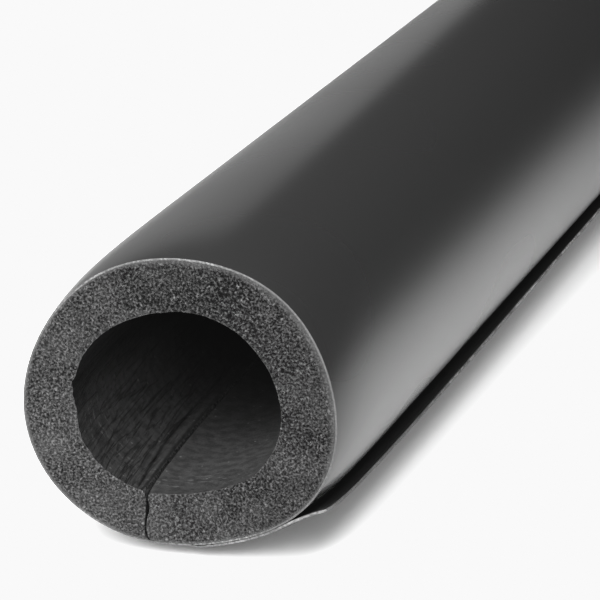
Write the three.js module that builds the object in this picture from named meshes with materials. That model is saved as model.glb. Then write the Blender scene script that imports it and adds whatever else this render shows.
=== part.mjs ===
// Foam pipe insulation: a slit foam tube in a thin jacket whose free edge laps over the slit.
// One length lies on its side on a level floor. Millimetres, X across the tube, Y along it, Z up.
// Looking along +Y from the near end, the slit is at the bottom and the lap stands off lower right.
import * as THREE from 'three';

// Sizes of the stock
const boreDiameter = 49; // slips over a 48.3 mm pipe
const wallThickness = 13;
const tubeLength = 1000;
const jacketThickness = 0.45;
const jacketSetback = 11; // the sheet starts this far right of the slit, under the lap
const jacketStepOver = 5; // and the lap climbs over that start within this distance
const lapWidth = 49; // and ends this far past the slit, along the sheet
const lapFreeWidth = 11.5; // outer strip of the lap that stands off the tube
const adhesiveWidth = 30; // strip on the inner face of the lap
const adhesiveThickness = 0.15;
const adhesiveMargin = 0.8; // the strip stops this short of the free edge

// Clearances
const bondClearance = 0.12; // between layers that are stuck together
const slitWidth = 0.6;

// How the tube lies: sagged to a slightly lobed oval, drawn in at its cut near end
const slitOffset = 8.8; // slit left of the lowest line
const slitDrift = -16; // degrees that the slit wanders round the bore, far from the mouth
const slitDriftReach = 60; // distance over which it wanders
const boreShift = -0.85; // the wall is thicker on the right
const tubeLobes = [
  { count: 2, height: 1.7, at: 6 },
  { count: 3, height: 0.6, at: -30 },
  { count: 4, height: 0.26, at: -37 },
  { count: 5, height: 0.24, at: -26 },
];
const boreLobes = [
  { count: 2, height: 1.6, at: 6 },
  { count: 3, height: 0.3, at: -22 },
  { count: 4, height: 0.28, at: -26 },
];
const drawnIn = 2.3; // less radius at the near end
const boreDrawnIn = 1.3;
const drawnReach = 13; // distance over which that dies out
const lapTurnNear = -13; // degrees that the free lap turns away from the tube, near end
const lapTurnFar = -2; // and far from there
const lapReach = 260; // distance over which the one passes into the other

// Mesh steps
const tubeSteps = 62; // round the foam and the bonded jacket
const lapSteps = 24;
const adhesiveSteps = 10;
const lengthSteps = 12;
const endCrowding = 2.4; // power by which the length steps crowd towards the near end

// Sizes that follow
const boreRadius = boreDiameter / 2;
const foamRadius = boreRadius + wallThickness;
const jacketRadius = foamRadius + bondClearance + jacketThickness / 2;
const lapRadius = jacketRadius + jacketThickness + adhesiveThickness + 2 * bondClearance;
const lapLaidWidth = lapWidth - lapFreeWidth;
const toRadians = THREE.MathUtils.degToRad;
const fullTurn = 2 * Math.PI;
const bottom = -fullTurn / 4;
const tangentAngle = 0.01; // back from a point, to find its heading

// Angle of the slit on a circle of this radius whose middle is moved sideways: the slit stands upright
function slitAngle(radius, shift = 0) {
  return bottom - Math.asin((slitOffset + shift) / radius);
}

// Point across the tube at an angle: a circle with its lobes, drawn in near the end
function outlinePoint(radius, angle, fromNear, lobes = tubeLobes, loss = drawnIn) {
  let reach = radius - loss * Math.exp(-fromNear / drawnReach);
  for (const { count, height, at } of lobes) {
    reach += height * Math.cos(count * (angle - toRadians(at)));
  }
  return new THREE.Vector2(reach * Math.cos(angle), reach * Math.sin(angle));
}

// Distances from the near end, closer together where the end is out of shape
function stationsFromNear() {
  return Array.from({ length: lengthSteps + 1 }, (_, k) => (
    tubeLength * (k / lengthSteps) ** endCrowding
  ));
}

// Even steps from one value to another, both ends included
function evenSteps(from, to, count) {
  return Array.from({ length: count + 1 }, (_, k) => THREE.MathUtils.lerp(from, to, k / count));
}

// A closed wall between an outer and an inner line of equally many points, carried along the tube.
// section(fromNear) gives { outer, inner }, both running anticlockwise seen from the near end.
function wallAlongTube(section) {
  const stations = stationsFromNear();
  const positions = [];
  let across = 0;
  for (const fromNear of stations) {
    const { outer, inner } = section(fromNear);
    across = outer.length;
    for (const point of [...outer, ...inner]) {
      positions.push(point.x, fromNear, point.y);
    }
  }

  const ring = 2 * across;
  const index = [];
  const quad = (a, b, c, d) => index.push(a, c, b, a, d, c);
  for (let k = 0; k < stations.length - 1; k += 1) {
    const near = k * ring;
    const far = near + ring;
    for (let i = 0; i < across - 1; i += 1) {
      quad(near + i, near + i + 1, far + i + 1, far + i);
      quad(near + across + i, far + across + i, far + across + i + 1, near + across + i + 1);
    }
    quad(near, far, far + across, near + across);
    quad(near + across - 1, near + ring - 1, far + ring - 1, far + across - 1);
  }
  const last = (stations.length - 1) * ring;
  for (let i = 0; i < across - 1; i += 1) {
    quad(i, i + across, i + across + 1, i + 1);
    quad(last + i, last + i + 1, last + i + across + 1, last + i + across);
  }

  const geometry = new THREE.BufferGeometry();
  geometry.setAttribute('position', new THREE.Float32BufferAttribute(positions, 3));
  geometry.setIndex(index);
  geometry.computeVertexNormals();
  return geometry;
}

// Foam tube: a round wall that is open along the slit
function foamSection(fromNear) {
  const roundLine = (radius, slit, lobes, loss) => {
    const halfSlit = slitWidth / 2 / radius;
    return evenSteps(slit + halfSlit, slit + fullTurn - halfSlit, tubeSteps).map((angle) => (
      outlinePoint(radius, angle, fromNear, lobes, loss)
    ));
  };
  const drift = toRadians(slitDrift) * (1 - Math.exp(-fromNear / slitDriftReach));
  const outer = roundLine(foamRadius, slitAngle(foamRadius), tubeLobes, drawnIn);
  const slit = slitAngle(boreRadius, boreShift) + drift;
  const inner = roundLine(boreRadius, slit, boreLobes, boreDrawnIn);
  inner.forEach((point) => point.setX(point.x + boreShift));
  return { outer, inner };
}

// Point of the lap at a distance past the slit. It is laid round the tube, first on the foam and
// then over the sheet's own start, and then free. The free lap is an arc that starts along the tube,
// so its chord points half way between its end headings.
function lapPoint(distance, fromNear) {
  const laid = Math.min(distance, lapLaidWidth);
  const angle = slitAngle(foamRadius) + laid / lapRadius;
  const lift = THREE.MathUtils.smoothstep(laid, jacketSetback - jacketStepOver, jacketSetback);
  const radius = THREE.MathUtils.lerp(jacketRadius, lapRadius, lift);
  const point = outlinePoint(radius, angle, fromNear);
  if (distance <= lapLaidWidth) {
    return point;
  }
  const before = outlinePoint(radius, angle - tangentAngle, fromNear);
  const heading = Math.atan2(point.y - before.y, point.x - before.x);
  const fade = Math.exp(-((fromNear / lapReach) ** 2));
  const turn = toRadians(THREE.MathUtils.lerp(lapTurnFar, lapTurnNear, fade));
  const free = distance - lapLaidWidth;
  const halfTurn = (turn * free) / lapFreeWidth / 2;
  const chord = halfTurn === 0 ? free : (free * Math.sin(halfTurn)) / halfTurn;
  const direction = new THREE.Vector2(Math.cos(heading + halfTurn), Math.sin(heading + halfTurn));
  return point.addScaledVector(direction, chord);
}

// Middle line of the jacket: once round the foam from its start to the slit, then the lap
function jacketLine(fromNear) {
  const slit = slitAngle(foamRadius);
  const start = slit + jacketSetback / lapRadius;
  const bonded = evenSteps(start, slit + fullTurn, tubeSteps).slice(0, -1).map((angle) => (
    outlinePoint(jacketRadius, angle, fromNear)
  ));
  const lap = evenSteps(0, lapWidth, lapSteps).map((distance) => lapPoint(distance, fromNear));
  return [...bonded, ...lap];
}

// The same line moved sideways: to its right, which is outwards, for a positive distance
function offsetLine(line, distance) {
  return line.map((point, i) => {
    const before = line[Math.max(i - 1, 0)];
    const after = line[Math.min(i + 1, line.length - 1)];
    const along = after.clone().sub(before).normalize();
    return new THREE.Vector2(point.x + along.y * distance, point.y - along.x * distance);
  });
}

function jacketSection(fromNear) {
  const line = jacketLine(fromNear);
  const half = jacketThickness / 2;
  return { outer: offsetLine(line, half), inner: offsetLine(line, -half) };
}

// Adhesive strip on the inner face of the lap
function adhesiveSection(fromNear) {
  const end = lapWidth - adhesiveMargin;
  const line = evenSteps(end - adhesiveWidth, end, adhesiveSteps).map((distance) => (
    lapPoint(distance, fromNear)
  ));
  const seat = jacketThickness / 2 + bondClearance;
  return { outer: offsetLine(line, -seat), inner: offsetLine(line, -seat - adhesiveThickness) };
}

function piece(name, section, color, roughness) {
  const material = new THREE.MeshStandardMaterial({ color, roughness, metalness: 0 });
  const mesh = new THREE.Mesh(wallAlongTube(section), material);
  mesh.name = name;
  return mesh;
}

const lagging = new THREE.Group();
lagging.add(
  piece('foam_tube', foamSection, 0x4b4b4b, 0.95),
  piece('jacket', jacketSection, 0x2c2c2c, 0.3),
  piece('lap_adhesive', adhesiveSection, 0x161616, 0.6),
);

// The tube stands on Z = 0, with the middle of its box over the origin
const box = new THREE.Box3().setFromObject(lagging);
const middle = box.getCenter(new THREE.Vector3());
lagging.position.set(-middle.x, -middle.y, -box.min.z);
lagging.updateMatrixWorld(true);

export default lagging;
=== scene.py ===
import math

import bpy
import numpy as np
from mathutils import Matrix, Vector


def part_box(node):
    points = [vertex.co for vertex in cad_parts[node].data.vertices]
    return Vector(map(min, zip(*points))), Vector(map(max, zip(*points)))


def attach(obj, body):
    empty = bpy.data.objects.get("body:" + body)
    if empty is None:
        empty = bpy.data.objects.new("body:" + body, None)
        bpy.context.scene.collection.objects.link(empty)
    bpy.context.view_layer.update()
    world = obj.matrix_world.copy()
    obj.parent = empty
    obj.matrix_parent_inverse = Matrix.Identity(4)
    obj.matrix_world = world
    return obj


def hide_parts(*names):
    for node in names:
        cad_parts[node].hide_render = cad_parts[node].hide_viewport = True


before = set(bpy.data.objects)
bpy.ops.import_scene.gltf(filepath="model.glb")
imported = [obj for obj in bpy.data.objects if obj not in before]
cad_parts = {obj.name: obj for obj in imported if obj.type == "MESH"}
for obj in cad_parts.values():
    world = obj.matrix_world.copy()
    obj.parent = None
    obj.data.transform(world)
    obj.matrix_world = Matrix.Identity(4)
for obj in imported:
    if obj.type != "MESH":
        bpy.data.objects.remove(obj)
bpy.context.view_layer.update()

mm = 0.001
fullTurn = 2 * math.pi
sharpAngle = 52  # degrees, past which an edge is shaded sharp

# The stock and how it lies, in millimetres and degrees. A lobe is (waves round the tube, height, at)
lagging = {
    "bore": 49,
    "wall": 13,
    "fill": 0.12,  # the foam fills the room that the solids keep for the glue
    "sheet": 0.42,  # thickness of the jacket
    "bond": 0.02,  # room between layers that are stuck together
    "tubeLobes": [(2, 1.7, 6), (3, 0.6, -30), (4, 0.26, -37), (5, 0.24, -26)],
    "boreLobes": [(2, 1.6, 6), (3, 0.3, -22), (4, 0.28, -26)],
    "boreShift": -0.85,  # the wall is thicker on the right
    "boreDents": [(0.5, 173, 2.5), (-0.75, 189, 7), (0.35, 318, 9)],  # (height, at, half width)
    "dentReach": 40,
    "drawnIn": 2.3,  # less radius at the near end
    "boreDrawnIn": 1.3,
    "drawnReach": 13,
    "slitOffset": 8.8,  # slit left of the lowest line
    "slitDrift": -16,  # how far the slit wanders round the bore
    "slitDriftReach": 60,
    "leaveAngle": -48.6,  # where the lap leaves the tube it pulls the wall out to a soft corner
    "leaveRidge": 1.8,
    "ridgeHalf": 6.0,
    "leaveHollow": 0.6,  # and the wall beside that corner is flatter
    "hollowHalf": 22,
    "leaveReach": 15,  # both die out towards the near end within this distance
}
boreRadius = lagging["bore"] / 2
foamRadius = boreRadius + lagging["wall"] + lagging["fill"]
sheetRadius = foamRadius + lagging["bond"] + lagging["sheet"] / 2


# 0 below 0, 1 above 1, and 3 t^2 - 2 t^3 between
def smooth(t):
    t = np.clip(t, 0, 1)
    return t * t * (3 - 2 * t)


# A bell of height 1 and this half width round zero
def bell(distance, halfWidth):
    return np.exp(-((distance / halfWidth) ** 2))


# Across the tube: a circle less an amount that dies out from the near end, plus height times the
# cosine of count times the angle for each lobe
def outline(radius, angle, fromNear, lobes, loss):
    reach = radius - loss * np.exp(-fromNear / lagging["drawnReach"])
    for count, height, at in lobes:
        reach = reach + height * np.cos(count * (angle - math.radians(at)))
    return reach * np.cos(angle), reach * np.sin(angle)


# The outer line also has a bell-shaped ridge where the lap leaves, less a wider bell round it
def tubeOutline(radius, angle, fromNear):
    away = np.degrees((angle + fullTurn / 2) % fullTurn - fullTurn / 2) - lagging["leaveAngle"]
    ridge = lagging["leaveRidge"] * bell(away, lagging["ridgeHalf"])
    hollow = lagging["leaveHollow"] * bell(away, lagging["hollowHalf"])
    corner = (ridge - hollow) * (1 - np.exp(-fromNear / lagging["leaveReach"]))
    return outline(radius + corner, angle, fromNear, lagging["tubeLobes"], lagging["drawnIn"])


# The bore's line is a circle with a few bell-shaped dents, which die out along it, and its lobes
def boreOutline(angle, fromNear):
    reach = boreRadius
    for height, at, halfWidth in lagging["boreDents"]:
        away = (np.degrees(angle) - at + 180) % 360 - 180
        reach = reach + height * bell(away, halfWidth) * np.exp(-fromNear / lagging["dentReach"])
    x, z = outline(reach, angle, fromNear, lagging["boreLobes"], lagging["boreDrawnIn"])
    return x + lagging["boreShift"], z


# Angle of the upright slit on a circle of this radius whose middle is moved sideways: straight
# down, less the arc sine of the slit's offset over the radius
def slitAngle(radius, shift=0):
    return -fullTurn / 4 - math.asin((lagging["slitOffset"] + shift) / radius)


# The tube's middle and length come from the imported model's box
def placeInFrame():
    low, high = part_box("foam_tube")
    x, z = tubeOutline(foamRadius, np.linspace(0, fullTurn, 721), (high.y - low.y) / mm)
    return {
        "x": (low.x + high.x) / 2 / mm - (x.min() + x.max()) / 2,
        "near": low.y / mm,
        "z": (low.z + high.z) / 2 / mm - (z.min() + z.max()) / 2,
        "length": (high.y - low.y) / mm,
    }


place = placeInFrame()
print("tube middle", round(place["x"], 3), round(place["z"], 3), "length", round(place["length"], 1))


# Smooth noise from -1 to 1: random values on a lattice, blended along both ways
def latticeNoise(x, y, seed):
    table = np.random.default_rng(seed).uniform(-1, 1, (256, 256))
    column = np.floor(x).astype(int)
    row = np.floor(y).astype(int)
    acrossX = smooth(x - column)
    acrossY = smooth(y - row)
    column = column % 256
    row = row % 256
    right = (column + 1) % 256
    above = (row + 1) % 256
    low = table[row, column] * (1 - acrossX) + table[row, right] * acrossX
    high = table[above, column] * (1 - acrossX) + table[above, right] * acrossX
    return low * (1 - acrossY) + high * acrossY


# Distance to the nearest of the points that stand one in each lattice square, at random in it
def cellDistance(x, y, seed):
    spots = np.random.default_rng(seed).uniform(0, 1, (256, 256, 2))
    column = np.floor(x).astype(int)
    row = np.floor(y).astype(int)
    nearest = np.full(np.shape(x), 9.0)
    for stepX in (-1, 0, 1):
        for stepY in (-1, 0, 1):
            spot = spots[(row + stepY) % 256, (column + stepX) % 256]
            awayX = column + stepX + spot[..., 0] - x
            awayY = row + stepY + spot[..., 1] - y
            nearest = np.minimum(nearest, np.hypot(awayX, awayY))
    return nearest


# The skin of a block of lattice points: the lattice indices of its points, its quads facing out
# when the three ways are right-handed, and the face (0 to 5) that each quad lies on
def blockSkin(uCount, vCount, wCount):
    i, j, k = np.meshgrid(np.arange(uCount), np.arange(vCount), np.arange(wCount), indexing="ij")
    onSkin = (i == 0) | (i == uCount - 1) | (j == 0) | (j == vCount - 1) | (k == 0) | (k == wCount - 1)
    number = np.cumsum(onSkin).reshape(onSkin.shape) - 1
    faces = [
        number[:, 0, :],  # inner
        number[::-1, -1, :],  # outer
        number[0, ::-1, :],  # start
        number[-1, :, :],  # end
        number[::-1, :, 0],  # near
        number[:, :, -1],  # far
    ]
    quads = []
    side = []
    for which, grid in enumerate(faces):
        corners = [grid[:-1, :-1], grid[1:, :-1], grid[1:, 1:], grid[:-1, 1:]]
        patch = np.stack(corners, axis=-1).reshape(-1, 4)
        quads.append(patch)
        side.append(np.full(len(patch), which))
    return (i[onSkin], j[onSkin], k[onSkin]), np.concatenate(quads), np.concatenate(side)


# Puts points (across, from the near end, up, in millimetres) and quads into a mesh in the frame
def makePiece(name, across, fromNear, up, quads, materials, materialOf, values):
    points = np.stack([across + place["x"], fromNear + place["near"], up + place["z"]], axis=-1) * mm
    mesh = bpy.data.meshes.new(name)
    mesh.vertices.add(len(points))
    mesh.vertices.foreach_set("co", points.astype(np.float32).ravel())
    mesh.loops.add(quads.size)
    mesh.loops.foreach_set("vertex_index", quads.astype(np.int32).ravel())
    mesh.polygons.add(len(quads))
    mesh.polygons.foreach_set("loop_start", np.arange(0, quads.size, 4, dtype=np.int32))
    for material in materials:
        mesh.materials.append(material)
    mesh.polygons.foreach_set("material_index", materialOf.astype(np.int32))
    mesh.update(calc_edges=True)
    mesh.shade_smooth()
    mesh.set_sharp_from_angle(angle=math.radians(sharpAngle))
    for label, value in values.items():
        attribute = mesh.attributes.new(label, "FLOAT", "POINT")
        attribute.data.foreach_set("value", value.astype(np.float32))
    mesh.validate()
    piece = bpy.data.objects.new(name, mesh)
    bpy.context.scene.collection.objects.link(piece)
    print(name, len(points), "points", 2 * len(quads), "triangles")
    return piece


# Distances from the near end: counts raised to a power crowd them at both ends, because the bore
# is seen from both, with even steps between
def stations(nearCount, nearReach, middleCount, farReach, farCount, power):
    near = nearReach * (np.arange(nearCount) / nearCount) ** power
    far = place["length"] - farReach * (np.arange(farCount, 0, -1) / farCount) ** power
    middle = np.linspace(nearReach, far[0], middleCount, endpoint=False)
    return np.concatenate([near, middle, far, [place["length"]]])


class Nodes:
    # A material's node tree with short ways to add and join nodes
    def __init__(self, name):
        self.material = bpy.data.materials.new(name)
        self.material.use_nodes = True
        self.tree = self.material.node_tree
        self.shader = self.tree.nodes["Principled BSDF"]

    def add(self, kind, inputs=None, **settings):
        node = self.tree.nodes.new("ShaderNode" + kind)
        for key, value in settings.items():
            setattr(node, key, value)
        for key, value in (inputs or {}).items():
            self.put(node, key, value)
        return node

    def put(self, node, key, value):
        if isinstance(value, bpy.types.NodeSocket):
            self.tree.links.new(value, node.inputs[key])
        else:
            node.inputs[key].default_value = value

    def millimetres(self):
        coordinates = self.add("TexCoord").outputs["Object"]
        return self.add("Mapping", {"Vector": coordinates, "Scale": (1 / mm,) * 3}).outputs["Vector"]

    def attribute(self, name):
        return self.add("Attribute", attribute_name=name).outputs["Fac"]

    def maths(self, operation, *values):
        node = self.add("Math", operation=operation)
        for number, value in enumerate(values):
            self.put(node, number, value)
        return node.outputs[0]

    def ramp(self, value, low, high, start=0.0, end=1.0):
        inputs = {"Value": value, 1: low, 2: high, 3: start, 4: end}
        return self.add("MapRange", inputs, interpolation_type="SMOOTHSTEP").outputs[0]

    def mix(self, share, dark, light):
        node = self.add("Mix", data_type="RGBA")
        self.put(node, 0, share)
        self.put(node, 6, dark)
        self.put(node, 7, light)
        return node.outputs[2]

    def grey(self, level):
        return (level, level, level, 1)


print("helpers ready")

foamSet = {
    "around": 520,  # mesh columns round the tube
    "through": 36,  # rows through the wall
    "slitCrowding": 0.25,  # share by which columns crowd towards the slit
    "cell": 0.85,  # size of a cut cell
    "cellDepth": 0.22,
    "grain": 0.45,
    "grainDepth": 0.14,
    "calmInner": 0.3,  # width of the smoother band beside the bore
    "calmOuter": 0.8,  # and beside the jacket
    "calmExtra": 1.4,  # wider by this on the upper right
    "roughGain": 0.32,  # rougher by this share towards the upper right
    "coarse": (11, 27.5, 9, 0.35),  # the roughest patch: across, up, half width, how much rougher
    # Odd cells of the near face: across, up, radius, brightness beside the rest
    "spots": [
        (-19.4, -17.3, 0.5, 0.1),
        (-11.0, -24.2, 0.45, 0.2),
        (-26.4, 14.0, 0.5, 1.7),
        (2.6, 28.9, 0.5, 1.7),
        (20.0, 20.3, 0.7, 1.4),
    ],
    "darkCell": 0.003,  # greys of the cut foam
    "paleCell": 0.185,
    "shadedBrightness": 0.95,
    "upperRightShade": 0.2,  # painted shade: loss of brightness towards the upper right
    "slitHalf": 0.3,  # half the slit's width
    "slitGape": 0.3,  # extra half width in the middle of the wall
    "gapeAt": (0.3, 0.16),  # there: share of the wall and half width
    "mouthGape": 0.7,  # extra half width where the slit meets the bore
    "mouthDepth": 0.8,  # which dies out this deep into the wall
    "mouthReach": 4,  # and is widest within this distance of the near end
    "slitBow": 0.45,  # how far the slit bends sideways
    "bowReach": 5,  # the cut follows the bend within this distance of the slit
    "lipReach": 1.1,  # and its lips draw back within this one
    # Mesh rows along the tube: near count and reach, middle count, far reach and count, crowding
    "rows": (26, 130, 5, 80, 10, 1.7),
}

# The bore's skin beside the slit: heights and depths, places left of the slit, half widths
skinSet = {
    "bead": (0.4, 1.0, 0.8),  # rolled left lip of the slit: height, place, half width
    "crease": (0.55, 2.2, 0.32),  # crease left of that lip: depth, place, half width
    "creaseDrift": 1.1,  # it stands off by this much more further in
    "driftReach": 40,
    "secondCrease": (0.275, 1.5, 0.3),  # and another one past it
    "creaseStart": 6,  # they set in within this distance of the mouth
    "creaseFade": (45, 45),  # and fade from here, over this distance
    "wrinkle": 0.22,
    "wrinkleSize": (1.3, 34),  # across and along
    "wrinkleReach": (34, 16),  # they reach this far round from the slit and fade over this
    "wave": 0.06,
    "wornEdge": (0.35, 0.7),  # right edge of the slit: depth and reach
    "wornMouth": (0.55, 0.8),  # more of both at the mouth
    "dark": 0.042,  # greys of the skin
    "pale": 0.072,
    "scuff": 0.22,
    "fleck": 0.35,
    # grey of the painted shade in the creases
    "creaseShade": 0.012,
}

# Painted shade on that skin: its colour is darkened towards black
boreShadeSet = {
    "fullBelow": -9,  # no painted shade up to this height, then it sets in over this distance
    "fadeHeight": 13,
    "upperLoss": 0.85,
    "deepFrom": 25,  # painted shade from this far inside either end, over this distance
    "deepReach": 80,
    "deepLoss": 0.6,
    "mouthReach": 30,  # darker at the near mouth within this distance
    "mouthLoss": 0.5,
    "slitLine": (0.55, 0.2, 0.6),  # painted shade line at the slit: strength, place, half width
    "creaseLine": (0.5, 0.45),  # painted shade in the crease: strength, half width
    "wedge": (0.7, 1.3, 7),  # painted shade wedge at the slit's mouth: strength, half width, reach
}


# Sideways place of the slit through the wall: one sine wave that weakens outwards, right and then
# left, plus a small bell to the right at the outer end
def slitBow(v):
    return foamSet["slitBow"] * (np.sin(fullTurn * v) * (1 - 0.35 * v) + 0.9 * bell(v - 1, 0.06))


# Half the slit's width through the wall: its own, plus lips that die out from the bore, more at
# the near end, plus a bell-shaped gape below them
def slitHalfWidth(v, fromNear):
    mouth = foamSet["mouthGape"] * np.exp(-v * lagging["wall"] / foamSet["mouthDepth"])
    mouth = mouth * (0.3 + 0.7 * np.exp(-fromNear / foamSet["mouthReach"]))
    middle, half = foamSet["gapeAt"]
    return foamSet["slitHalf"] + mouth + foamSet["slitGape"] * bell(v - middle, half)


# Distance of the crease from the slit: its place, plus a smooth step further in
def creasePlace(fromNear):
    nearSpot = skinSet["crease"][1]
    return nearSpot + skinSet["creaseDrift"] * smooth(fromNear / skinSet["driftReach"])


# The lip and creases rise by a smooth step at the mouth and mostly fall by another further in
def creaseShare(fromNear):
    start, reach = skinSet["creaseFade"]
    return smooth(fromNear / skinSet["creaseStart"]) * (1 - 0.85 * smooth((fromNear - start) / reach))


# The wrinkled side of the bore: a smooth step up left of the slit and one down two thirds round
def wrinkledShare(left):
    start, reach = skinSet["wrinkleReach"]
    return smooth(left / 3) * (1 - smooth((left - start) / reach))


# Share of the skin's colour that painted shade leaves: less above a height, deep inside and at the
# near mouth, each by a smooth step, and less by bells in the crease, at the slit and in the wedge at the
# slit's mouth
def paintedBoreShade(left, fromNear, up):
    fromEnd = np.minimum(fromNear, place["length"] - fromNear)
    low = 1 - boreShadeSet["upperLoss"] * smooth((up - boreShadeSet["fullBelow"]) / boreShadeSet["fadeHeight"])
    deep = 1 - boreShadeSet["deepLoss"] * smooth((fromEnd - boreShadeSet["deepFrom"]) / boreShadeSet["deepReach"])
    mouth = 1 - boreShadeSet["mouthLoss"] * (1 - smooth(fromNear / boreShadeSet["mouthReach"]))
    strength, slit, half = boreShadeSet["slitLine"]
    lines = strength * bell(left - slit, half)
    strength, half = boreShadeSet["creaseLine"]
    lines = lines + strength * bell(left - creasePlace(fromNear), half)
    strength, half, reach = boreShadeSet["wedge"]
    wedge = strength * bell(left, half) * np.exp(-fromNear / reach)
    return low * deep * mouth * (1 - np.maximum(lines * creaseShare(fromNear), wedge))


# Skin of the bore, inwards: left of the slit a bell for the rolled lip, less two for the creases,
# less wrinkles where long noise is near 0; right of it faint noise, less a worn edge that dies out
def boreRelief(right, left, fromNear):
    deep = creaseShare(fromNear)
    height, beadPlace, half = skinSet["bead"]
    lip = height * bell(left - beadPlace, half) * (0.4 + 0.6 * deep)
    first = creasePlace(fromNear)
    depth, _, half = skinSet["crease"]
    crease = depth * bell(left - first, half) * deep
    depth, further, half = skinSet["secondCrease"]
    crease = crease + depth * bell(left - first - further, half) * deep

    across, along = skinSet["wrinkleSize"]
    sway = 0.8 * latticeNoise(left / 6, fromNear / 13, 31)
    waves = latticeNoise((left + sway) / across, fromNear / along, 32)
    wrinkles = skinSet["wrinkle"] * bell(waves, 0.28) * wrinkledShare(left)
    soft = skinSet["wave"] * latticeNoise(right / 4, fromNear / 5, 33)

    mouth = np.exp(-fromNear / 6)
    depth, reach = skinSet["wornEdge"]
    more, further = skinSet["wornMouth"]
    worn = (depth + more * mouth) * np.exp(-right / (reach + further * mouth))
    return lip - crease - wrinkles + soft - worn


# Relief of a cut end, outwards: bowls that rise with the distance to the nearest cell's middle to
# the power 1.5, over a finer grain that rises with such a distance
def cutRelief(x, z, seed):
    warp = 0.5 * latticeNoise(x / 2.3, z / 2.3, seed + 1)
    cells = cellDistance((x + warp) / foamSet["cell"], (z - warp) / foamSet["cell"], seed + 2)
    grain = cellDistance(x / foamSet["grain"], z / foamSet["grain"], seed + 3)
    bowls = foamSet["cellDepth"] * (1.9 * cells**1.5 - 0.75)
    return bowls + foamSet["grainDepth"] * (1.5 * grain - 0.7)


# A smooth step across the cut, 0 at its lower left and 1 at its upper right, which is rougher and gets
# painted shade
def upperRight(x, z):
    return smooth((0.8 * x + 0.6 * z + 28) / 50)


# How rough the cut is: smooth steps up from both rims, times slow noise with a bell for the
# roughest patch, times the gain towards the upper right
def cutContrast(x, z, v):
    calmWidth = foamSet["calmOuter"] + foamSet["calmExtra"] * smooth((x + z - 10) / 30)
    inner = 0.6 + 0.4 * smooth(lagging["wall"] * v / foamSet["calmInner"])
    outer = 0.25 + 0.75 * smooth(lagging["wall"] * (1 - v) / calmWidth)
    across, up, half, more = foamSet["coarse"]
    patch = more * bell(np.hypot(x - across, z - up), half)
    uneven = 0.95 + 0.2 * latticeNoise(x / 6, z / 6, 47) + patch
    return inner * outer * uneven * (1 + foamSet["roughGain"] * upperRight(x, z))


# The tube's wall: u once round from the slit's right side to its left, v from the bore's line to
# the outer line along a straight one, and the distance from the near end
def foamPoints(u, v, fromNear):
    drift = math.radians(lagging["slitDrift"]) * (1 - np.exp(-fromNear / lagging["slitDriftReach"]))
    innerAngle = slitAngle(boreRadius, lagging["boreShift"]) + drift + fullTurn * u
    outerAngle = slitAngle(foamRadius) + fullTurn * u
    innerX, innerZ = boreOutline(innerAngle, fromNear)
    outerX, outerZ = tubeOutline(foamRadius, outerAngle, fromNear)

    right = u * fullTurn * boreRadius
    left = (1 - u) * fullTurn * boreRadius
    relief = boreRelief(right, left, fromNear)
    innerX = innerX - relief * np.cos(innerAngle)
    innerZ = innerZ - relief * np.sin(innerAngle)
    x = innerX + (outerX - innerX) * v
    z = innerZ + (outerZ - innerZ) * v

    reach = boreRadius + lagging["wall"] * v
    fromSlit = np.minimum(u, 1 - u) * fullTurn * reach
    side = np.where(u < 0.5, 1, -1)
    x = x + slitBow(v) * bell(fromSlit, foamSet["bowReach"])
    x = x + side * slitHalfWidth(v, fromNear) * bell(fromSlit, foamSet["lipReach"])

    contrast = cutContrast(x, z, v)
    depth = contrast * (0.3 + 0.7 * smooth(fromSlit / 0.8))
    nearCut = cutRelief(x, z, 40) * depth * (fromNear == 0)
    farCut = cutRelief(x, z, 60) * depth * (fromNear == place["length"])
    return x, fromNear - nearCut + farCut, z, -(nearCut + farCut), contrast
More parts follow.
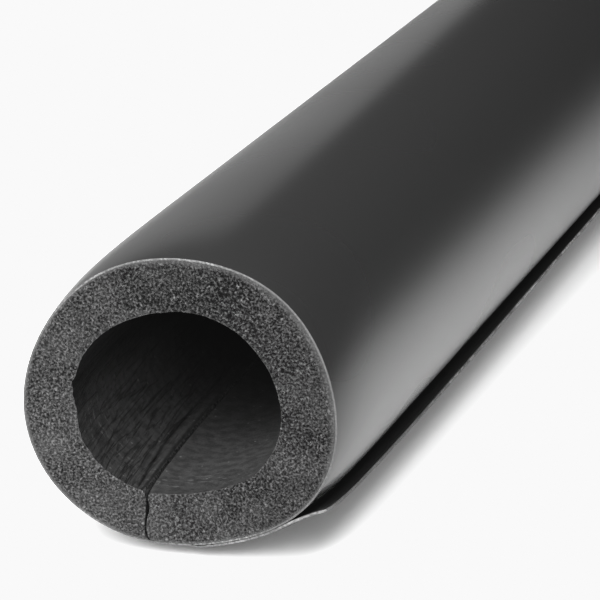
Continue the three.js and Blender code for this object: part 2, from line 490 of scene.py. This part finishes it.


# Cut foam: pale grains and dark cells, faint where the cut is calm, and a few odd cells, with painted
# shade in its pits and where it is rougher
def cutFoamMaterial():
    nodes = Nodes("cut foam")
    spot = nodes.millimetres()
    warp = nodes.add("TexNoise", {"Vector": spot, "Scale": 0.9, "Detail": 2.0}).outputs["Color"]
    bent = nodes.add("VectorMath", {0: warp, 1: spot}, operation="ADD").outputs[0]
    cells = nodes.add("TexVoronoi", {"Vector": bent, "Scale": 1.35, "Randomness": 1.0})
    holes = nodes.add("TexVoronoi", {"Vector": bent, "Scale": 0.55, "Randomness": 1.0})
    grain = nodes.add("TexNoise", {"Vector": spot, "Scale": 1.8, "Detail": 3.0, "Roughness": 0.65})
    patches = nodes.add("TexNoise", {"Vector": spot, "Scale": 0.14, "Detail": 2.0})
    wall = nodes.ramp(cells.outputs["Distance"], 0.12, 0.72)
    fleck = nodes.ramp(grain.outputs[0], 0.34, 0.68)
    level = nodes.maths("MULTIPLY", nodes.maths("MULTIPLY_ADD", wall, 0.5, 0.4), fleck)
    level = nodes.maths("MULTIPLY", level, nodes.ramp(holes.outputs["Distance"], 0.1, 0.26, 0.15, 1.0))
    # painted shade: the deeper the pit, the darker
    level = nodes.maths("MULTIPLY", level, nodes.ramp(nodes.attribute("pit"), -0.2, 0.3, 1.0, 0.35))
    contrast = nodes.attribute("contrast")
    mean = 0.27
    fromMean = nodes.maths("SUBTRACT", level, mean)
    level = nodes.maths("MULTIPLY_ADD", fromMean, nodes.maths("MULTIPLY", contrast, 0.9), mean)
    # painted shade: the rougher the cut, the darker
    level = nodes.maths("MULTIPLY", level, nodes.ramp(contrast, 0.3, 1.3, 1.1, 0.85))
    # painted shade: darker towards the upper right
    level = nodes.maths("MULTIPLY", level, nodes.attribute("shadedBrightness"))
    level = nodes.maths("MULTIPLY", level, nodes.ramp(patches.outputs[0], 0.3, 0.7, 0.88, 1.12))
    for across, up, radius, gain in foamSet["spots"]:
        centre = (across + place["x"], place["near"], up + place["z"])
        away = nodes.add("VectorMath", {0: spot, 1: centre}, operation="DISTANCE").outputs["Value"]
        level = nodes.maths("MULTIPLY", level, nodes.ramp(away, 0.5 * radius, radius, gain, 1.0))
    colour = nodes.mix(level, nodes.grey(foamSet["darkCell"]), nodes.grey(foamSet["paleCell"]))
    nodes.put(nodes.shader, "Base Color", colour)
    nodes.put(nodes.shader, "Roughness", 0.8)
    nodes.put(nodes.shader, "Specular IOR Level", 0.05)
    height = nodes.maths("MULTIPLY", nodes.maths("ADD", wall, fleck), contrast)
    bump = nodes.add("Bump", {"Height": height, "Strength": 1.0, "Distance": 0.22 * mm})
    nodes.put(nodes.shader, "Normal", bump.outputs[0])
    return nodes.material


# Moulded skin of the bore: dark, faintly shiny, with fine creases along it in painted shade, scuffs
# near the mouth and pale flecks, all darkened by the painted shade share
def boreSkinMaterial():
    nodes = Nodes("bore skin")
    around = nodes.attribute("around")
    along = nodes.attribute("along")
    leftShare = nodes.attribute("wrinkled")
    spot = nodes.add("CombineXYZ", {"X": around, "Y": along}).outputs[0]
    long = nodes.add("Mapping", {"Vector": spot, "Scale": (1.0, 0.045, 1)}).outputs[0]
    folds = nodes.add("TexNoise", {"Vector": long, "Scale": 0.55, "Detail": 2.0, "Distortion": 0.25})
    offLine = nodes.maths("ABSOLUTE", nodes.maths("SUBTRACT", folds.outputs[0], 0.5))
    crease = nodes.ramp(offLine, 0.0, 0.035, 1.0, 0.0)
    short = nodes.add("Mapping", {"Vector": spot, "Scale": (1.0, 0.16, 1)}).outputs[0]
    streaks = nodes.add("TexNoise", {"Vector": short, "Scale": 1.5, "Detail": 2.0})
    crease = nodes.maths("MAXIMUM", crease, nodes.ramp(streaks.outputs[0], 0.45, 0.3, 0.0, 0.8))
    crease = nodes.maths("MULTIPLY", crease, leftShare)
    fine = nodes.add("TexNoise", {"Vector": spot, "Scale": 1.8, "Detail": 3.0, "Roughness": 0.6})
    mottle = nodes.add("TexNoise", {"Vector": spot, "Scale": 0.35, "Detail": 3.0})
    specks = nodes.add("TexVoronoi", {"Vector": spot, "Scale": 0.28, "Randomness": 1.0})
    speck = nodes.ramp(specks.outputs["Distance"], 0.1, 0.07)
    across = nodes.add("Mapping", {"Vector": spot, "Scale": (0.35, 1.1, 1)}).outputs[0]
    scuffs = nodes.add("TexNoise", {"Vector": across, "Scale": 0.9, "Detail": 2.0})
    atMouth = nodes.maths("MULTIPLY", nodes.ramp(along, 2.0, 9.0), nodes.ramp(along, 14.0, 24.0, 1.0, 0.0))
    scuff = nodes.maths("MULTIPLY", nodes.ramp(scuffs.outputs[0], 0.58, 0.68), atMouth)
    share = nodes.ramp(mottle.outputs[0], 0.35, 0.65)
    colour = nodes.mix(share, nodes.grey(skinSet["dark"]), nodes.grey(skinSet["pale"]))
    colour = nodes.mix(nodes.maths("MULTIPLY", scuff, 0.6), colour, nodes.grey(skinSet["scuff"]))
    colour = nodes.mix(nodes.maths("MULTIPLY", speck, 0.5), colour, nodes.grey(skinSet["fleck"]))
    # painted shade: the creases and streaks are darkened towards a near-black grey
    colour = nodes.mix(nodes.maths("MULTIPLY", crease, 0.75), colour, nodes.grey(skinSet["creaseShade"]))
    # painted shade: the skin's colour is mixed towards black by the painted shade share
    nodes.put(nodes.shader, "Base Color", nodes.mix(nodes.attribute("boreShadeShare"), nodes.grey(0.0), colour))
    nodes.put(nodes.shader, "Roughness", nodes.ramp(fine.outputs[0], 0.3, 0.7, 0.5, 0.68))
    nodes.put(nodes.shader, "Specular IOR Level", 0.15)
    height = nodes.maths("SUBTRACT", nodes.maths("MULTIPLY", fine.outputs[0], 0.5), crease)
    bump = nodes.add("Bump", {"Height": height, "Strength": 0.7, "Distance": 0.25 * mm})
    nodes.put(nodes.shader, "Normal", bump.outputs[0])
    return nodes.material


# The foam tube: its columns crowd towards the slit by a sine of the share round it
def makeFoamTube():
    share = np.linspace(0, 1, foamSet["around"] + 1)
    us = share - foamSet["slitCrowding"] * np.sin(fullTurn * share) / fullTurn
    vs = np.linspace(0, 1, foamSet["through"] + 1)
    ws = stations(*foamSet["rows"])
    (i, j, k), quads, side = blockSkin(len(us), len(vs), len(ws))
    u, v, fromNear = us[i], vs[j], ws[k]
    across, along, up, pit, contrast = foamPoints(u, v, fromNear)
    left = (1 - u) * fullTurn * boreRadius
    values = {
        "pit": pit,
        "contrast": contrast,
        "shadedBrightness": foamSet["shadedBrightness"] - foamSet["upperRightShade"] * upperRight(across, up),
        "around": left,
        "along": fromNear,
        "wrinkled": wrinkledShare(left),
        # share of the bore skin's colour left by painted shade
        "boreShadeShare": paintedBoreShade(left, fromNear, up),
    }
    skinned = (side < 2).astype(int)
    materials = [cutFoamMaterial(), boreSkinMaterial()]
    tube = makePiece("foamTube", across, along, up, quads, materials, skinned, values)
    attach(tube, "root")
    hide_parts("foam_tube")
    return tube


makeFoamTube()

jacketSet = {
    "setback": 11,  # the sheet starts this far right of the slit, under the lap
    "taper": 3,  # the start is thinned over this distance, and the lap climbs over it
    "edgeRound": 0.08,  # how far the sheet's outer edge is rounded back at the cut ends
    "lap": 49,  # width past the slit
    "free": 11.5,  # outer strip that stands off the tube
    "turnNear": -13,  # degrees that the free strip turns away from the tube
    "turnFar": 2,
    "turnReach": 260,
    "edgeTrim": 2.3,  # the free edge runs straight on where the tube's end is drawn in
    "trimReach": 70,
    "hem": 0.4,  # the lap is thicker by this share towards its free edge
    "hemStart": 30,  # from this far past the slit
    "hemClimb": 10,
    "thinnest": 0.03,  # share of the thickness that the start keeps
    "adhesive": 0.1,  # thickness of the strip under the lap
    "stripWidth": 30,
    "stripColumns": 61,
    "stripMargin": 0.8,
    "stripGrey": 0.012,  # at its free edge
    "stripShadeLift": 0.024,  # painted light: paler by this towards the tube, against the shade there
    "shadeLiftReach": 11,
    "grey": 0.0145,  # of the sheet's faces
    "aroundStep": 0.6,  # mesh columns
    "lapStep": 0.5,
    "rows": (34, 300, 16, 160, 10, 1.7),  # as for the foam
}
lapRadius = sheetRadius + lagging["sheet"] + jacketSet["adhesive"] + 2 * lagging["bond"]

# How pale the sheet's cut edge is, as shares from its dark to its pale grey, with painted highlight and
# painted light in them
edgeSet = {
    "dark": 0.04,
    "pale": 0.3,
    "least": 0.14,
    # painted highlight on the top left of the cut ends
    "paintedTopHighlight": 0.42,
    "paintedDoubleLight": 0.55,  # painted light where the sheet lies double, in shade
    "streak": (0.6, -14.7, 3),  # one streak at the lower left: share, place along the sheet, half width
    "marginHighlightNear": 0.3,  # painted highlight along the free edge near the end, and this much more far from it
    "marginHighlightMore": 2.2,
    "hemFrom": 60,
    "hemReach": 200,
}


# Middle line of the sheet at a distance along it from the slit: before the slit once round the
# tube, past it on the foam, up over the sheet's own thinned start, and last a free arc off the tube
def sheetLine(distance, fromNear):
    slit = slitAngle(foamRadius)
    laid = np.minimum(distance, jacketSet["lap"] - jacketSet["free"])
    angle = slit + np.where(distance < 0, laid / sheetRadius, laid / lapRadius)
    lift = smooth((laid - jacketSet["setback"]) / jacketSet["taper"])
    radius = sheetRadius + (lapRadius - sheetRadius) * lift
    x, z = tubeOutline(radius, angle, fromNear)
    before = 0.01
    backX, backZ = tubeOutline(radius, angle - before, fromNear)
    heading = np.arctan2(z - backZ, x - backX)

    fade = bell(fromNear, jacketSet["turnReach"])
    turn = np.radians(jacketSet["turnFar"] + (jacketSet["turnNear"] - jacketSet["turnFar"]) * fade)
    straight = np.exp(-fromNear / jacketSet["trimReach"]) - np.exp(-fromNear / lagging["drawnReach"])
    trim = 1 - jacketSet["edgeTrim"] * straight / jacketSet["free"]
    free = np.maximum(distance - laid, 0) * trim
    half = turn * free / jacketSet["free"] / 2
    chord = free * np.sinc(half / math.pi)
    return x + chord * np.cos(heading + half), z + chord * np.sin(heading + half)


# A layer on that line: its points moved out by an offset along the line's normal, which is the
# difference of two close points turned by a right angle
def layerPoints(distance, offset, fromNear):
    step = 0.05
    x, z = sheetLine(distance, fromNear)
    aheadX, aheadZ = sheetLine(distance + step, fromNear)
    behindX, behindZ = sheetLine(distance - step, fromNear)
    alongX, alongZ = aheadX - behindX, aheadZ - behindZ
    size = np.hypot(alongX, alongZ)
    return x + offset * alongZ / size, z - offset * alongX / size


# Satin black sheet, whose gloss varies a little
def sheetMaterial():
    nodes = Nodes("jacket sheet")
    spot = nodes.millimetres()
    cloud = nodes.add("TexNoise", {"Vector": spot, "Scale": 0.015, "Detail": 0.0})
    nodes.put(nodes.shader, "Base Color", nodes.grey(jacketSet["grey"]))
    nodes.put(nodes.shader, "Roughness", nodes.maths("MULTIPLY_ADD", cloud.outputs[0], 0.05, 0.25))
    nodes.put(nodes.shader, "Specular IOR Level", 0.12)
    return nodes.material


# Cut edge of the sheet: paler than its faces, with knife marks across it, and painted highlight and
# painted light from its pale share
def cutEdgeMaterial():
    nodes = Nodes("jacket cut edge")
    spot = nodes.millimetres()
    marks = nodes.add("TexNoise", {"Vector": spot, "Scale": 1.4, "Detail": 3.0})
    worn = nodes.add("TexNoise", {"Vector": spot, "Scale": 0.12, "Detail": 3.0})
    # the pale share holds painted highlight and painted light besides the edge's own paleness
    share = nodes.maths("MULTIPLY", nodes.ramp(marks.outputs[0], 0.35, 0.7), nodes.attribute("pale"))
    share = nodes.maths("MULTIPLY", share, nodes.ramp(worn.outputs[0], 0.35, 0.65, 0.3, 1.0))
    colour = nodes.mix(share, nodes.grey(edgeSet["dark"]), nodes.grey(edgeSet["pale"]))
    nodes.put(nodes.shader, "Base Color", colour)
    nodes.put(nodes.shader, "Roughness", 0.6)
    bump = nodes.add("Bump", {"Height": marks.outputs[0], "Strength": 0.4, "Distance": 0.05 * mm})
    nodes.put(nodes.shader, "Normal", bump.outputs[0])
    return nodes.material


# Black adhesive: matte, slightly uneven, a little paler towards the tube as painted light against the
# shade there, with a rare pale fleck
def adhesiveMaterial():
    nodes = Nodes("adhesive")
    spot = nodes.millimetres()
    uneven = nodes.add("TexNoise", {"Vector": spot, "Scale": 0.5, "Detail": 3.0})
    specks = nodes.add("TexVoronoi", {"Vector": spot, "Scale": 0.09, "Randomness": 1.0})
    speck = nodes.ramp(specks.outputs["Distance"], 0.05, 0.035)
    inside = nodes.attribute("inside")
    # painted light: paler towards the tube, where the strip lies in shade
    level = nodes.maths("MULTIPLY_ADD", inside, jacketSet["stripShadeLift"], jacketSet["stripGrey"])
    level = nodes.maths("MULTIPLY", level, nodes.ramp(uneven.outputs[0], 0.3, 0.7, 0.85, 1.15))
    colour = nodes.mix(level, nodes.grey(0.0), nodes.grey(1.0))
    nodes.put(nodes.shader, "Base Color", nodes.mix(speck, colour, nodes.grey(0.3)))
    nodes.put(nodes.shader, "Roughness", 0.75)
    nodes.put(nodes.shader, "Specular IOR Level", 0.2)
    bump = nodes.add("Bump", {"Height": uneven.outputs[0], "Strength": 0.3, "Distance": 0.1 * mm})
    nodes.put(nodes.shader, "Normal", bump.outputs[0])
    return nodes.material


# Share of pale grey: on the ends a least one, plus painted highlight by a smooth step to the top left and
# painted light where the sheet lies double in shade, plus a bell for the streak; on the free edge's margin
# a painted highlight by a smooth step away from the end
def edgePalenessAndLight(distance, fromStart, fromNear, across, up):
    paintedTopHighlight = smooth(up / 35) * (1 - smooth(across / 32))
    paintedDoubleLight = smooth((26 - fromStart) / 10) * (distance < 0) + smooth(distance / 20)
    share, spot, half = edgeSet["streak"]
    streak = share * bell(distance - spot, half)
    onEnds = edgeSet["least"] + edgeSet["paintedTopHighlight"] * paintedTopHighlight + edgeSet["paintedDoubleLight"] * paintedDoubleLight + streak
    away = smooth((fromNear - edgeSet["hemFrom"]) / edgeSet["hemReach"])
    marginHighlight = edgeSet["marginHighlightNear"] + edgeSet["marginHighlightMore"] * away
    atMargin = distance > jacketSet["lap"] - jacketSet["stripMargin"]
    return np.where(atMargin & (fromNear > 0), marginHighlight, onEnds)


# The sheet: columns along its line, three layers through it and rows along the tube. Its thickness
# climbs by a smooth step from its start and by another towards the free edge
def makeJacket():
    bonded = fullTurn * sheetRadius - jacketSet["setback"]
    roundPoints = np.linspace(-bonded, 0, int(bonded / jacketSet["aroundStep"]), endpoint=False)
    lapPoints = np.linspace(0, jacketSet["lap"], int(jacketSet["lap"] / jacketSet["lapStep"]) + 1)
    us = np.concatenate([roundPoints, lapPoints])
    vs = np.array([-0.5, 0.05, 0.5]) * lagging["sheet"]
    ws = stations(*jacketSet["rows"])
    (i, j, k), quads, side = blockSkin(len(us), len(vs), len(ws))
    fromStart = us[i] + bonded
    hem = jacketSet["hem"] * smooth((us[i] - jacketSet["hemStart"]) / jacketSet["hemClimb"])
    thickness = np.maximum(smooth(fromStart / jacketSet["taper"]), jacketSet["thinnest"]) * (1 + hem)
    offset = (vs[j] / lagging["sheet"] + 0.5) * lagging["sheet"] * thickness - lagging["sheet"] / 2
    across, up = layerPoints(us[i], offset, ws[k])
    rounded = jacketSet["edgeRound"] * (j == len(vs) - 1) * thickness
    along = ws[k] + rounded * ((k == 0).astype(float) - (k == len(ws) - 1))
    # the free edge's margin on the inner face takes the cut edge's material for its painted highlight
    margin = (side == 0) & (us[i[quads[:, 0]]] > jacketSet["lap"] - jacketSet["stripMargin"])
    cut = ((side > 1) | margin).astype(int)
    materials = [sheetMaterial(), cutEdgeMaterial()]
    values = {"pale": edgePalenessAndLight(us[i], fromStart, ws[k], across, up)}
    jacket = makePiece("jacketSheet", across, along, up, quads, materials, cut, values)
    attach(jacket, "root")
    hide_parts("jacket")
    return jacket


# The strip: a thin block on the lap's inner face, from its free edge's margin inwards
def makeAdhesive():
    end = jacketSet["lap"] - jacketSet["stripMargin"]
    us = np.linspace(end - jacketSet["stripWidth"], end, jacketSet["stripColumns"])
    inner = -lagging["sheet"] / 2 - lagging["bond"] - jacketSet["adhesive"]
    vs = np.linspace(inner, inner + jacketSet["adhesive"] + 0.9 * lagging["bond"], 3)
    ws = stations(*jacketSet["rows"])
    (i, j, k), quads, side = blockSkin(len(us), len(vs), len(ws))
    across, up = layerPoints(us[i], vs[j], ws[k])
    # share of painted light towards the tube
    values = {"inside": smooth((end - us[i]) / jacketSet["shadeLiftReach"])}
    strip = makePiece("lapAdhesive", across, ws[k], up, quads, [adhesiveMaterial()], side * 0, values)
    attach(strip, "root")
    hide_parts("lap_adhesive")
    return strip


makeJacket()
makeAdhesive()
print("jacket and adhesive made")

# The picture: the near end's middle stands at this pixel of a 600 pixel square, this far away
viewSet = {
    "lens": 240,
    "sensor": 36,
    "imageSize": 600,
    "pixel": (181, 402),
    "away": 904,
    "turnLeft": 16.15,
    "tiltDown": 15.5,
    "nudge": (-0.48, -0.80),  # the tube's middle from that pixel, across and up
}


def makeCamera():
    turn = math.radians(viewSet["turnLeft"])
    tilt = math.radians(viewSet["tiltDown"])
    ahead = np.array([-math.sin(turn) * math.cos(tilt), math.cos(turn) * math.cos(tilt), -math.sin(tilt)])
    right = np.array([math.cos(turn), math.sin(turn), 0])
    down = np.cross(ahead, right)
    focal = viewSet["lens"] / viewSet["sensor"] * viewSet["imageSize"]
    aside = (viewSet["pixel"][0] - viewSet["imageSize"] / 2) / focal
    below = (viewSet["pixel"][1] - viewSet["imageSize"] / 2) / focal
    middle = np.array([place["x"], place["near"], place["z"]])
    middle = middle - np.array([viewSet["nudge"][0], 0, viewSet["nudge"][1]])
    spot = (middle - viewSet["away"] * (ahead + aside * right + below * down)) * mm
    data = bpy.data.cameras.new("photo view")
    data.lens = viewSet["lens"]
    data.sensor_width = viewSet["sensor"]
    data.clip_start = 0.05
    data.clip_end = 50
    camera = bpy.data.objects.new("photo view", data)
    camera.location = spot
    camera.rotation_euler = (math.pi / 2 - tilt, 0, turn)
    bpy.context.scene.collection.objects.link(camera)
    bpy.context.scene.camera = camera


makeCamera()

floorSet = {"half": 6.0, "grey": 0.9, "glow": 0.14}


# A plain flat floor under the tube, not part of the object
def makeFloor():
    half = floorSet["half"]
    mesh = bpy.data.meshes.new("floor")
    corners = [(-half, -half, 0), (half, -half, 0), (half, half, 0), (-half, half, 0)]
    mesh.from_pydata(corners, [], [(0, 1, 2, 3)])
    nodes = Nodes("floor")
    nodes.put(nodes.shader, "Base Color", nodes.grey(floorSet["grey"]))
    nodes.put(nodes.shader, "Roughness", 0.9)
    nodes.put(nodes.shader, "Specular IOR Level", 0.0)
    nodes.put(nodes.shader, "Emission Color", nodes.grey(1.0))
    nodes.put(nodes.shader, "Emission Strength", floorSet["glow"])
    mesh.materials.append(nodes.material)
    floor = bpy.data.objects.new("floor", mesh)
    bpy.context.scene.collection.objects.link(floor)


makeFloor()

# Soft lights: (middle in metres, aimed at, size across and along, watts, spread in degrees)
lightSet = {
    "overhead": ((-0.55, -1.15, 0.8), (-0.55, -1.15, 0.0), (2.2, 1.9), 36, 100),
    "front": ((-0.25, -2.3, 1.1), (0.0, -0.5, 0.03), (3.0, 1.0), 42, 100),
    "side": ((-1.92, 2.7, 0.75), (0.0, -0.4, 0.05), (2.3, 1.6), 6.5, 180),
}
worldGrey = 0.07
toneSet = {"black": 0.0036, "white": 0.947}


def makeLights():
    for name, (spot, target, size, power, spread) in lightSet.items():
        data = bpy.data.lights.new(name, "AREA")
        data.shape = "RECTANGLE"
        data.size, data.size_y = size
        data.energy = power
        data.spread = math.radians(spread)
        light = bpy.data.objects.new(name, data)
        light.location = spot
        aim = np.array(target) - np.array(spot)
        tip = math.atan2(np.hypot(aim[0], aim[1]), -aim[2])
        light.rotation_euler = (tip, 0, math.atan2(-aim[0], aim[1]))
        bpy.context.scene.collection.objects.link(light)
    world = bpy.data.worlds.new("studio")
    world.use_nodes = True
    background = world.node_tree.nodes["Background"]
    background.inputs["Color"].default_value = (worldGrey, worldGrey, worldGrey, 1)
    bpy.context.scene.world = world


# The photograph's tones: black is a very dark grey and white stops short of full white
def setTones():
    view = bpy.context.scene.view_settings
    view.view_transform = "Standard"
    view.use_curve_mapping = True
    mapping = view.curve_mapping
    mapping.extend = "HORIZONTAL"
    first, last = mapping.curves[3].points[0], mapping.curves[3].points[-1]
    first.location = (0.0, toneSet["black"])
    last.location = (1.0, toneSet["white"])
    mapping.update()


makeLights()
setTones()
print("camera, floor and lights ready")
